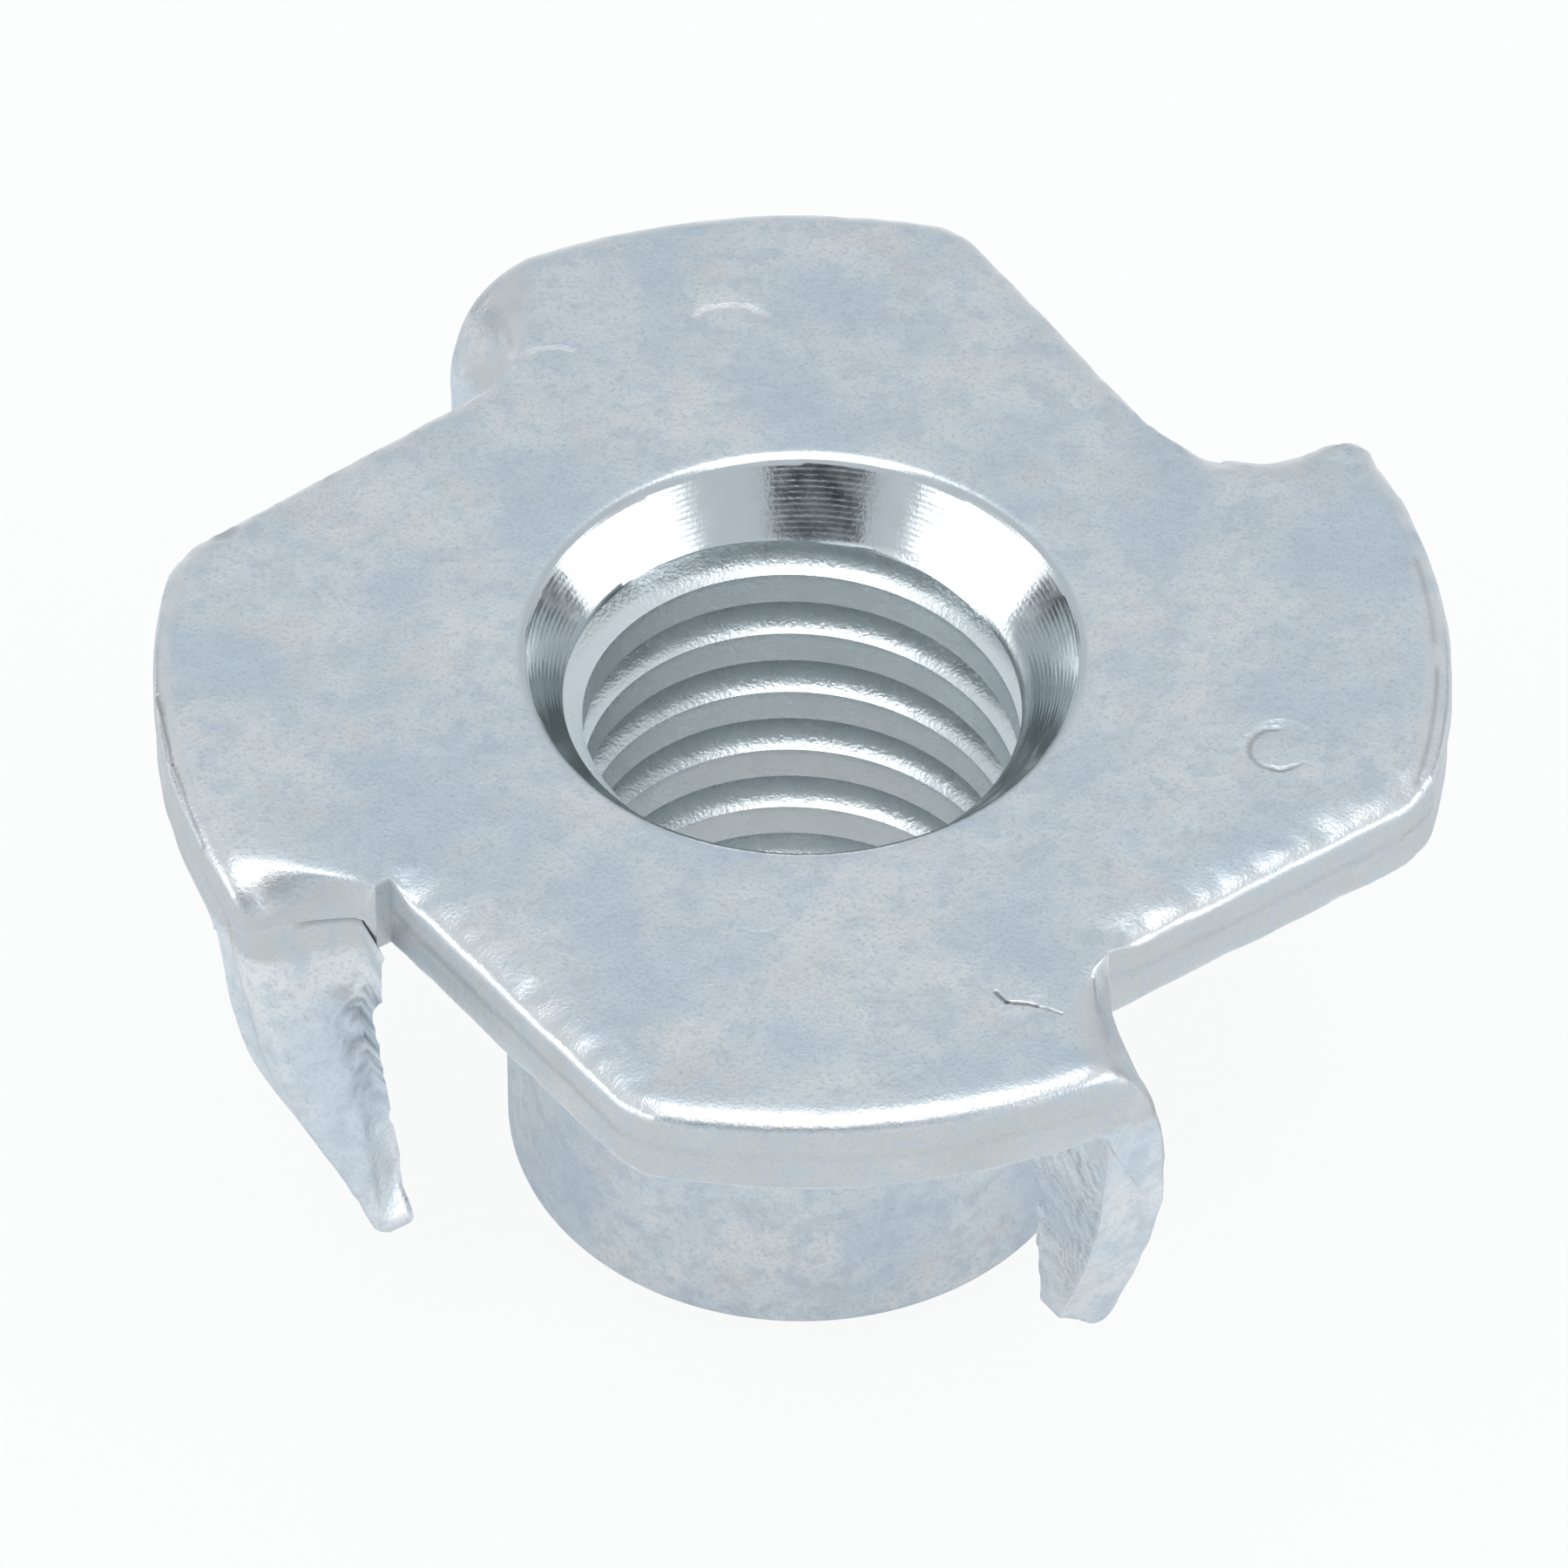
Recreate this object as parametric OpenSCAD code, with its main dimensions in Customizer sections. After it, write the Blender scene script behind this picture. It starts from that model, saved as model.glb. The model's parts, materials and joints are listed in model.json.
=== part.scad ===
// Four-prong tee nut, pressed from one piece of steel sheet.
// A barrel is drawn out of the middle of a round flange and tapped right
// through.  Four tabs are sheared along straight lines at the rim and folded
// down, which leaves the flange with its pinwheel outline.  Each fold is
// conical: tight at the root of the shear and wide at the rim.
//
// +Z runs along the thread towards the flange.  The origin is on the thread's
// axis, in the plane of the flange's underside, which pulls up against the wood.

/* [Flange] */
// Diameter over the round rim of the arms
flange_d = 24.4; // [23:0.1:30]
// Thickness of the sheet
flange_t = 1.7; // [1.2:0.1:2]
// Width of the roll that the press leaves round the upper edges
roll_w = 0.45; // [0.2:0.05:0.6]
// Depth of that roll
roll_h = 0.22; // [0.1:0.02:0.4]

/* [Prongs] */
// How many tabs are sheared and folded down
prongs = 4; // [3:1:4]
// Distance from the thread's axis to each straight sheared edge
shear_r = 9.6; // [8.8:0.1:10.4]
// Outside radius of the fold where it reaches the rim
fold_out = 2.3; // [1.8:0.1:2.8]
// Inside radius of the fold
fold_r = 0.35; // [0.2:0.05:0.6]
// Radius of the blunt point
point_r = 0.5; // [0.3:0.05:0.7]
// Thickness of the sheet at the point
point_t = 1.2; // [0.8:0.1:1.2]
// Length of the taper from the full thickness down to that of the point
taper_l = 2.5; // [1:0.1:4]

/* [Barrel] */
// Outside diameter of the drawn barrel
barrel_d = 11.4; // [10.6:0.1:13]
// Height of the nut from the end of the barrel to the top of the flange
nut_h = 12.7; // [10:0.1:16]
// Radius where the barrel runs into the underside of the flange
draw_r = 0.8; // [0.4:0.1:1.4]
// Radius round the outside of the barrel's end
end_r = 0.35; // [0.2:0.05:0.6]

/* [Bore] */
// Diameter over the crests of the thread
crest_d = 8.3; // [7.4:0.1:8.8]
// Diameter of the countersink where it meets the top of the flange
sink_d = 10.6; // [9.6:0.1:11.4]
// Depth of the countersink
sink_h = 1.45; // [0.8:0.05:2.4]
// Chamfer at the open end of the barrel
mouth_c = 0.35; // [0.1:0.05:0.5]
// Diameter over the roots of the thread
root_d = 9.525; // [8.9:0.025:9.8]
// Rise of the thread in one turn
pitch = 1.5875; // [1.25:0.0125:2]
// Direction in which the groove's centre leaves the top of the flange, from +X
thread_turn = 164; // [0:2:358]

/* [Hidden] */

flange_r = flange_d / 2;
barrel_r = barrel_d / 2;
crest_r = crest_d / 2;
sink_r = sink_d / 2;
barrel_l = nut_h - flange_t;
// Half the length of a sheared edge
half_chord = sqrt(pow(flange_r, 2) - pow(shear_r, 2));
// Where each fold starts on the round rim
tab_r = sqrt(pow(flange_r, 2) - pow(fold_out, 2));
// Height of the axis about which the rim's arc stands up in a prong
stand_z = flange_t - fold_out;
// Centre of the blunt point, between the sheared edge and the rim's arc
point_x = shear_r + point_r;
point_z = stand_z - sqrt(pow(flange_r - point_r, 2) - pow(point_x, 2));
prong_end = point_z - point_r;
// Distance from the root of the shear in to the point of the fold's cone
root_in = 0.15;
// Angle of the faint crease where the fold meets the flat sheet
crease = 6;
// Point of the fold's cone, a little inside the root of the shear
cone_x = shear_r - root_in;
// How fast the fold widens from there to the rim
cone_slope = fold_out / (tab_r - cone_x);
// Radius of the roll's arc, as a share of its chord
roll_arc = 1.1;
// How far the thread's cutter reaches in past the crests
groove_in = 0.3;
// Flats of the cutter in one turn
groove_steps = 30;
// Angle between the flanks of the thread
thread_angle = 60;
// Overlap that lets cutters run clear of the faces they cut
clear = 1;

$fn = 96;

// What the press rolls off a square corner that has its edge at [0, 0]: wider
// than it is deep, and bounded by one shallow arc
module roll_off() {
    chord = norm([roll_w, roll_h]);
    arc_r = roll_arc * chord;
    rise = sqrt(pow(arc_r, 2) - pow(chord / 2, 2));
    difference() {
        polygon([[-roll_w, 0], [-roll_w, clear], [clear, clear], [clear, -roll_h], [0, -roll_h]]);
        translate([-roll_w / 2 - rise * roll_h / chord, -roll_h / 2 - rise * roll_w / chord])
            circle(r = arc_r);
    }
}

// Half section of the roll round the rim
module rim_corner() {
    translate([flange_r, flange_t]) roll_off();
}

// Half section through the flange and barrel, with the bore still closed
module turned_section() {
    square([flange_r, flange_t]);
    translate([0, -barrel_l + end_r]) square([barrel_r, barrel_l - end_r]);
    translate([0, -barrel_l]) square([barrel_r - end_r, end_r]);
    // round of the barrel's end
    intersection() {
        translate([barrel_r - end_r, -barrel_l + end_r]) circle(r = end_r);
        translate([barrel_r - end_r, -barrel_l]) square([end_r, end_r]);
    }
    // radius under the flange
    difference() {
        translate([barrel_r, -draw_r]) square([draw_r, draw_r]);
        translate([barrel_r + draw_r, -draw_r]) circle(r = draw_r);
    }
}

// Half section of what the tap drill and the countersink take out
module bore_section() {
    polygon([
        [0, -barrel_l - clear],
        [crest_r + mouth_c + clear, -barrel_l - clear],
        [crest_r, -barrel_l + mouth_c],
        [crest_r, flange_t - sink_h],
        [sink_r, flange_t],
        [sink_r, flange_t + clear],
        [0, flange_t + clear],
    ]);
}

// The groove of the thread, right-handed, wound past both ends of the bore
module thread_groove() {
    root_r = root_d / 2;
    inner_r = crest_r - groove_in;
    root_flat = pitch / 8;
    open_w = root_flat + 2 * (root_r - inner_r) * tan(thread_angle / 2);
    section = [
        [inner_r, -open_w / 2], [root_r, -root_flat / 2],
        [root_r, root_flat / 2], [inner_r, open_w / 2],
    ];
    turns = ceil(nut_h / pitch) + 1;
    steps = (turns + 1) * groove_steps;
    points = [for (i = [0:steps], p = section)
        let (a = thread_turn + i * 360 / groove_steps)
        [p[0] * cos(a), p[0] * sin(a), flange_t + p[1] + pitch * (i / groove_steps - turns)]];
    sides = [for (i = [0:steps - 1], k = [0:3])
        let (a = 4 * i + k, b = 4 * i + (k + 1) % 4)
        each [[a, b, a + 4], [b, b + 4, a + 4]]];
    first_end = [3, 2, 1, 0];
    last_end = [for (k = [0:3]) 4 * steps + k];
    polyhedron(points, concat([first_end], sides, [last_end]));
}

// The flange and barrel, before the rim is sheared
module blank() {
    rotate_extrude()
        difference() {
            turned_section();
            bore_section();
            rim_corner();
        }
}

// What one tab leaves behind it: the straight sheared edge, with its roll
module shear_cut() {
    translate([shear_r, -fold_out, -clear])
        cube([flange_r, fold_out + half_chord + clear, flange_t + 2 * clear]);
    translate([shear_r, half_chord + clear, flange_t])
        rotate([90, 0, 0])
            linear_extrude(half_chord + clear) roll_off();
}

// Side view of a tab before its outer corner is bent round: flat where it
// leaves the flange, then straight down, with its outer face on x = 0
module tab_section() {
    back = fold_out + clear;
    difference() {
        translate([-back, prong_end]) square([back, flange_t - prong_end]);
        difference() {
            polygon([
                [-back - clear, 0], [-flange_t, 0], [-flange_t, prong_end + taper_l],
                [-point_t, prong_end], [-point_t, prong_end - clear], [-back - clear, prong_end - clear],
            ]);
            // inside of the fold
            difference() {
                translate([-flange_t - fold_r, -fold_r]) square(fold_r);
                translate([-flange_t - fold_r, -fold_r]) circle(r = fold_r);
            }
        }
    }
}

// Front view of a tab's straight sheared edge and its blunt point; the rim's
// arc takes off the rest
module tab_outline() {
    translate([shear_r, point_z]) square([flange_r - shear_r, flange_t - point_z]);
    translate([point_x, prong_end]) square([flange_r - point_x, flange_t - prong_end]);
    translate([point_x, point_z]) circle(r = point_r);
}

// What the fold takes off a tab's square outer corner: all that lies outside a
// cone, between two planes that hold the cone's axis
module fold_waste() {
    far = flange_r + clear - cone_x;
    reach = far * cone_slope;
    side = [[0, 0], [far, -reach], [far, clear], [0, clear]];
    // the cone's axis swings and dips away from its point by these angles
    swing = atan(cone_slope);
    dip = atan(cone_slope / norm([1, cone_slope]));
    axis_l = norm([far, reach, reach]);
    half = asin(reach / axis_l / cos(crease));
    translate([cone_x, 0, flange_t])
        difference() {
            intersection() {
                translate([0, 0, -reach]) linear_extrude(reach + clear) polygon(side);
                translate([0, clear, 0]) rotate([90, 0, 0]) linear_extrude(reach + clear) polygon(side);
            }
            rotate([0, 90 + dip, -swing]) cylinder(h = 2 * axis_l, r1 = 0, r2 = 2 * axis_l * tan(half));
        }
}

// The flange's disc with its rolled rim, as deep as a prong is long
module rolled_disc() {
    rotate_extrude()
        difference() {
            translate([0, prong_end]) square([flange_r, flange_t - prong_end]);
            rim_corner();
        }
}

// A tab with its outer corner still square
module square_tab() {
    intersection() {
        rotate([90, 0, 90]) linear_extrude(flange_r) tab_section();
        rotate([90, 0, 0]) linear_extrude(fold_out + clear) tab_outline();
        rolled_disc();
        // the same rim, stood up with the prong
        translate([0, -flange_t, stand_z]) rotate([-90, 0, 0]) rolled_disc();
    }
}

// One folded prong, beside the notch that it came out of
module prong() {
    difference() {
        square_tab();
        fold_waste();
    }
}

module each_prong() {
    for (i = [0:prongs - 1]) rotate([0, 0, i * 360 / prongs]) children();
}

module tee_nut() {
    color([0.78, 0.82, 0.86]) {
        difference() {
            blank();
            each_prong() shear_cut();
            thread_groove();
        }
        each_prong() prong();
    }
}

tee_nut();
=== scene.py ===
import json
import math

import bmesh
import bpy
import numpy as np
from mathutils import Matrix, Vector
from mathutils.geometry import delaunay_2d_cdt


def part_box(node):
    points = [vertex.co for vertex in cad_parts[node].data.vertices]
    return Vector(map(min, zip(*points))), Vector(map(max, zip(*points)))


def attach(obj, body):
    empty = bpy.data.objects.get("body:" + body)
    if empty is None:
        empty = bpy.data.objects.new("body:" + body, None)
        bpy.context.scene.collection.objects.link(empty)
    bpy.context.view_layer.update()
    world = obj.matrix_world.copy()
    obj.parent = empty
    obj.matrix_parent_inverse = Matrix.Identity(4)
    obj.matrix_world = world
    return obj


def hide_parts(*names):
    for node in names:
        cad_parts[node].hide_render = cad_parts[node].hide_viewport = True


# A four-prong tee nut in zinc-plated steel.  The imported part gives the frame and
# the sizes.  One closed skin takes its place, with the thread, the rolled and
# torn edges of the sheet, the uneven arms and the four hand-different prongs.
# Lengths are in millimetres until the skin is handed over in metres.

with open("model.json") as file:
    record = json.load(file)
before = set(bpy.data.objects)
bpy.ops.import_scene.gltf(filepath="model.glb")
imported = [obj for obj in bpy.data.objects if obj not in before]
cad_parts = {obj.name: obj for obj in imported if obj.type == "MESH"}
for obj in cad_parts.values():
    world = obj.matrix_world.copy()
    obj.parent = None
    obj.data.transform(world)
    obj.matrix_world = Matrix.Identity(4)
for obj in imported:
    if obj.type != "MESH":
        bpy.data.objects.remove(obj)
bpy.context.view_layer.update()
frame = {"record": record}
MM = 0.001

# ---- sizes ----

low, high = (np.array(corner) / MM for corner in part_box("tee_nut"))
FLANGE_R = high[0]
TOP = high[2]
BARREL_END = low[2]
mounts = {m["name"]: m for m in frame["record"]["mounts"]}
CREST_R = mounts["thread"]["dims"]["r_mm"]
BARREL_R = mounts["barrel"]["dims"]["r_mm"]

PITCH = 25.4 / 16
MAJOR_R = 25.4 * 3 / 8 / 2
SINK_R = 5.3
SINK_H = 1.45
LIP = 0.12
MOUTH_C = 0.35
DRAW_R = 0.8
END_R = 0.35

ROLL_W = 0.5
ROLL_H = 0.24
FOLD_IN = 0.35

COLUMNS = 256
ROLL = np.array([0, 0.03, 0.08, 0.15, 0.24, 0.36, ROLL_W])
WALL = np.array([0, 0.05, 0.16, 0.3, 0.44, 0.5, 0.6, 0.75, 0.9, 0.97, 1])
FOLD_ROWS = 16
TAB_COLUMNS = 12

# ---- camera: its lens, dip, roll and place, seen from the front, and the turn
# of the front about the thread ----

CAMERA_F = 14824
CAMERA_DIP = 0.79410668
CAMERA_ROLL = 0.00266016
CAMERA_SHIFT = (0.34778, 2.50981, 242.80557)
CAMERA_TURN = 54.3

# How each arm and prong departs from an even nut, going round with the thread.
# root: where the shear ends, across and along the prong's face.  lean: turn of
# the straight sheared edge, degrees.  gap: step between that edge and the prong.
# corner: size of the rounding of the arm's corner.
# over and down: reach of the fold at the rim, over the top and down the face;
# widening: how fast each of them grows from the root.  crack: depth to which the
# face stands back below the middle of the fold.  stand: how far the foot of the
# fold stays behind the root's plane at the rim.  cant: how far the point stands
# out of that plane.  dusk: how much shade is painted along the fold.  out,
# ridge and torn: the outer edge, the ridge that runs inside it and the torn inner
# edge, as pairs of height and distance across.  tip: height of the point's end on
# the two faces.
# bevel: width and depth of the flat that runs down beside the torn edge.
# edge: depth of the rolled outer edge for its width.  thin: thickness of the
# sheet at the point.
ARMS = [
    dict(root=(9.66, 0.0), lean=-1.4, gap=0.05, corner=0.4, over=2.0, down=5.2, widening=(0.55, 0.3),
         crack=0.0, stand=0.0, cant=0.0, dusk=0.3, edge=0.5, bevel=(0.3, 0.0),
         out=[(1.7, 12.25), (0, 12.15), (-1.2, 12.0), (-2.2, 11.87), (-3.0, 11.8), (-3.9, 11.55),
              (-5.2, 11.13), (-6.3, 10.7), (-7.3, 10.3), (-8.15, 9.98)],
         ridge=[(1.7, 0.5), (-3, 0.5), (-8, 0.2)],
         torn=[(0, 9.7), (-2.7, 9.76), (-5, 9.68), (-8.15, 9.58)], tip=(-8.0, -7.3), thin=1.35),
    dict(root=(9.12, -0.12), lean=-2.6, gap=0.10, corner=0.35, over=2.2, down=2.6, widening=(0.5, 0.4),
         crack=0.0, stand=0.0, cant=0.22, dusk=0.1, edge=0.7, bevel=(0.3, 0.0),
         out=[(1.7, 12.25), (0, 12.2), (-2, 12.05), (-4, 11.5), (-6, 10.7), (-7.7, 10.05)],
         ridge=[(1.7, 0.5), (-3, 0.4), (-8, 0.2)],
         torn=[(0, 9.12), (-3, 9.3), (-7.7, 9.45)], tip=(-7.7, -7.1), thin=1.1),
    dict(root=(9.55, -0.02), lean=2.3, gap=0.10, corner=0.4, over=2.2, down=2.6, widening=(1, 0.45),
         crack=0.0, stand=0.0, cant=0.28, dusk=0.15, edge=0.7, bevel=(0.3, 0.0),
         out=[(1.7, 12.25), (0, 12.2), (-2, 12.0), (-4, 11.6), (-6, 10.9), (-7.8, 10.25)],
         ridge=[(1.7, 0.5), (-3, 0.4), (-8, 0.2)],
         torn=[(0, 9.6), (-3, 9.7), (-7.8, 9.65)], tip=(-7.8, -7.2), thin=1.0),
    dict(root=(10.0, 0.40), lean=2.1, gap=0.32, corner=0.3, over=2.38, down=1.05, widening=(1, 0.03),
         crack=0.12, stand=1.05, cant=1.17, dusk=0.12, edge=1.25, bevel=(0.75, 0.42),
         out=[(1.7, 12.25), (1.0, 12.12), (0, 12.06), (-1.0, 12.02), (-2.0, 12.02), (-3.1, 11.92),
              (-4.1, 11.62), (-5.0, 11.25), (-6.0, 10.9), (-6.65, 10.75)],
         ridge=[(1.7, 0.5), (0.5, 0.55), (-0.4, 0.42), (-1.4, 0.26), (-2.6, 0.14), (-6.7, 0.14)],
         torn=[(0, 10.06), (-1.1, 10.17), (-2.5, 10.14), (-3.4, 10.07), (-5.0, 10.0), (-6.65, 10.08)],
         tip=(-6.66, -6.4), thin=0.85),
]


# Marks struck or scraped into the top: kind, place, width, depth and how much
# the mark shines (less than nothing where it is dark).  The shine is partly
# painted light: painted shade in the grooves and in the crease along the rim,
# painted highlights on their edges and on the rim's crest.  Rings have a centre, a
# radius, the way their arc faces and half its angle; lines have two ends;
# spots have a centre and a radius.
MARKS = [
    ("ring", (-1.4, 8.4, 1.0, 90, 50), 0.14, -0.05, 0.9),
    ("ring", (-4.8, 7.3, 0.9, 100, 40), 0.12, -0.04, 0.7),
    ("ring", (8.9, -2.55, 0.55, 200, 125), 0.09, -0.06, -0.5),
    ("ring", (8.95, -2.5, 0.72, 100, 60), 0.10, 0.02, 0.4),
    ("ring", (0, 0, 11.93, -9, 8), 0.08, -0.04, -0.4),
    ("ring", (0, 0, 11.9, 7, 6), 0.10, -0.04, -0.3),
    ("ring", (0, 0, 11.74, -2, 14), 0.12, 0.02, 0.35),
    ("ring", (-0.8, -6.9, 0.45, 0, 180), 0.06, -0.01, 0.15),
    ("line", (3.55, -8.85, 3.75, -9.1), 0.07, -0.10, -0.9),
    ("line", (3.75, -9.1, 4.3, -9.15), 0.06, -0.10, -0.8),
    ("line", (4.3, -9.15, 4.75, -9.4), 0.05, -0.05, -0.3),
    ("line", (-12.1, -1.1, -11.75, -2.9), 0.05, -0.03, -0.7),
    ("line", (-11.75, -2.9, -11.1, -5.0), 0.05, -0.03, -0.5),
    ("spot", (-11.0, 3.3, 0.35), 2.0, 0.0, -0.35),
    ("spot", (-4.7, -10.3, 0.5), 1.0, 0.0, -0.15),
    ("spot", (-5.9, 8.9, 0.7), 1.5, 0.0, 0.6),
]


# Spots that are pushed sideways and rounded off, seen from the front: place,
# lowest height, size, push and how thoroughly.
SOFT_SPOTS = [
    (7.5, 5.2, -3.0, 1.6, (0.12, 0.5), 0),
    (7.6, 5.7, -2.5, 1.0, (0, 0), 25),
    (10.9, 5.3, -1.0, 1.0, (0, 0), 12),
]
# The rim lifted at the back, seen from the front: place, length, width, height
LIFTED_RIM = (10.3, 5.6, 0.9, 0.5, 0.22)
# Depth of the streaks drawn into the backs of the prongs
STREAK_D = 0.022
# Height of the top's long waves and of its short ones
LONG_WAVE, SHORT_WAVE = 0.010, 0.005

# ---- colours of the plating, and of its painted shade and highlights ----

BLUE_ZINC, PALE_ZINC = (0.71, 0.785, 0.85), (0.875, 0.90, 0.91)
TORN_STEEL = (0.62, 0.63, 0.61)
DULL_ZINC = (0.61, 0.68, 0.745)
WARM_ZINC = (0.84, 0.81, 0.78)
PITS = (0.52, 0.58, 0.63)
# the tapped bore's colour is pale, painted light that lifts the shade inside it
TAPPED_AND_LIT, COUNTERSUNK = (0.90, 0.955, 0.97), (0.71, 0.755, 0.775)
# rubbed crests, partly a painted highlight on the sloping rolls and folds
RUBBED_AND_SHEEN = (0.93, 0.93, 0.92)
# painted shade in the cracks, along the folds and in the marks' grooves, and the darker band beside the
# torn edges
PAINTED_DARK = (0.16, 0.15, 0.15)

# ---- studio: places seen from the front and sizes in metres, powers in watts ----

DAYLIGHT = (0.595, 0.635, 0.665, 1)
SIDE_LAMP = dict(place=(0.485, -0.12, 0.16), size=(0.5, 0.24), power=0.75)
TOP_LAMP = dict(place=(0, -0.06, 0.5), size=(0.38, 0.38), power=0.7)
DARK_CARD = ((-0.02, -0.17, 0.10), (0.12, 0.055))
LOW_CARD = ((0.20, 0.10, 0.015), (0.12, 0.05))
PAPER = (0.84, 0.85, 0.86, 1)
CARD = (0.03, 0.03, 0.035, 1)
# How much of the floor's white each kind of ray meets
WHITE_SEEN = (("Is Camera Ray", 0.9), ("Is Glossy Ray", 0.2), ("Is Transmission Ray", 0.9))

# ---- small helpers ----


def turned(points, degrees):
    """Points turned about the thread's axis."""
    a = math.radians(degrees)
    p = np.array(points, float)
    q = p.copy()
    q[..., 0] = p[..., 0] * math.cos(a) - p[..., 1] * math.sin(a)
    q[..., 1] = p[..., 0] * math.sin(a) + p[..., 1] * math.cos(a)
    return q


def mixed(a, b, share):
    """From a to b, one result for each share."""
    s = np.asarray(share, float)[..., None]
    return np.asarray(a, float) * (1 - s) + np.asarray(b, float) * s


def eased(x, start, end):
    """0 before start, 1 after end, smooth in between."""
    t = np.clip((np.asarray(x, float) - start) / (end - start), 0, 1)
    return t * t * (3 - 2 * t)


def rough(points, size, seed):
    """Smooth random height between about -1 and 1, with bumps of about that size."""
    rng = np.random.default_rng(seed)
    total = np.zeros(len(points))
    for _ in range(14):
        way = rng.normal(size=3)
        way *= rng.uniform(0.6, 1.5) / np.linalg.norm(way)
        total += np.sin(points @ way * 2 * math.pi / size + rng.uniform(0, 2 * math.pi))
    return total / 4


class Skin:
    """Patches of one closed skin.  Their seams share points, which merge later."""

    def __init__(self):
        self.points, self.faces, self.grime, self.count = [], [], [], 0

    def add(self, points, faces, grime=0.0):
        self.points.append(np.asarray(points, float).reshape(-1, 3))
        self.grime.append(np.zeros(len(self.points[-1])) + np.ravel(grime))
        self.faces += [[i + self.count for i in f] for f in faces]
        self.count += len(self.points[-1])

    def grid(self, rows, grime=0.0):
        """A patch of quads through rows of points, each row as long as the next."""
        rows = np.asarray(rows, float)
        n, m = rows.shape[:2]
        at = np.arange(n * m).reshape(n, m)
        quads = np.stack([at[:-1, :-1], at[:-1, 1:], at[1:, 1:], at[1:, :-1]], -1)
        self.add(rows, quads.reshape(-1, 4).tolist(), grime)


def inside(points, loop):
    """Which points lie inside a closed loop."""
    x, y = points[:, 0:1], points[:, 1:2]
    a, b = loop, np.roll(loop, -1, 0)
    crosses = (a[:, 1] > y) != (b[:, 1] > y)
    with np.errstate(divide="ignore", invalid="ignore"):
        at = a[:, 0] + (y - a[:, 1]) * (b[:, 0] - a[:, 0]) / (b[:, 1] - a[:, 1])
    return (crosses & (x < at)).sum(1) % 2 == 1


def filled(loops, spacing, seed, margin=0.6):
    """Triangles that fill the first loop outside the others, in two dimensions.
    The loops' own points come first in what it returns."""
    rng = np.random.default_rng(seed)
    outer = loops[0]
    lo, hi = outer.min(0), outer.max(0)
    across = np.arange(lo[0], hi[0], spacing)
    up = np.arange(lo[1], hi[1], spacing * math.sqrt(0.75))
    net = np.array([(x + (j % 2) * spacing / 2, y) for j, y in enumerate(up) for x in across])
    net += rng.uniform(-0.12, 0.12, net.shape) * spacing
    keep = inside(net, outer)
    for hole in loops[1:]:
        keep &= ~inside(net, hole)
    net = net[keep]
    edge = np.concatenate(loops)
    near = np.array([np.min(((edge - p) ** 2).sum(1)) for p in net]) if len(net) else np.zeros(0)
    net = net[near > (spacing * margin) ** 2]
    points = np.concatenate([edge, net])
    sides, start = [], 0
    for loop in loops:
        n = len(loop)
        sides += [(start + i, start + (i + 1) % n) for i in range(n)]
        start += n
    _, _, faces, origin, _, _ = delaunay_2d_cdt([Vector(p) for p in points], sides, [], 1, 1e-7)
    source = np.array([o[0] for o in origin])
    faces = source[np.array(faces)]
    for hole in loops[1:]:
        faces = faces[~inside(points[faces].mean(1), hole)]
    return points, faces.tolist()


# ---- one prong ----


def soft_least(a, b, width):
    """The lesser of two sizes, with the change from one to the other rounded."""
    close = np.maximum(width - np.abs(a - b), 0) / width
    return np.minimum(a, b) - close**2 * width / 4


def through(pairs, z):
    """A smooth line through pairs of height and size, read at the heights z."""
    at, size = np.array(sorted(pairs), float).T
    slope = np.gradient(size, at)
    z = np.clip(z, at[0], at[-1])
    k = np.clip(np.searchsorted(at, z) - 1, 0, len(at) - 2)
    span = at[k + 1] - at[k]
    t = (z - at[k]) / span
    ease = t * t * (3 - 2 * t)
    bow = (t * (1 - t) ** 2 * slope[k] - t * t * (1 - t) * slope[k + 1]) * span
    return size[k] + (size[k + 1] - size[k]) * ease + bow


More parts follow.
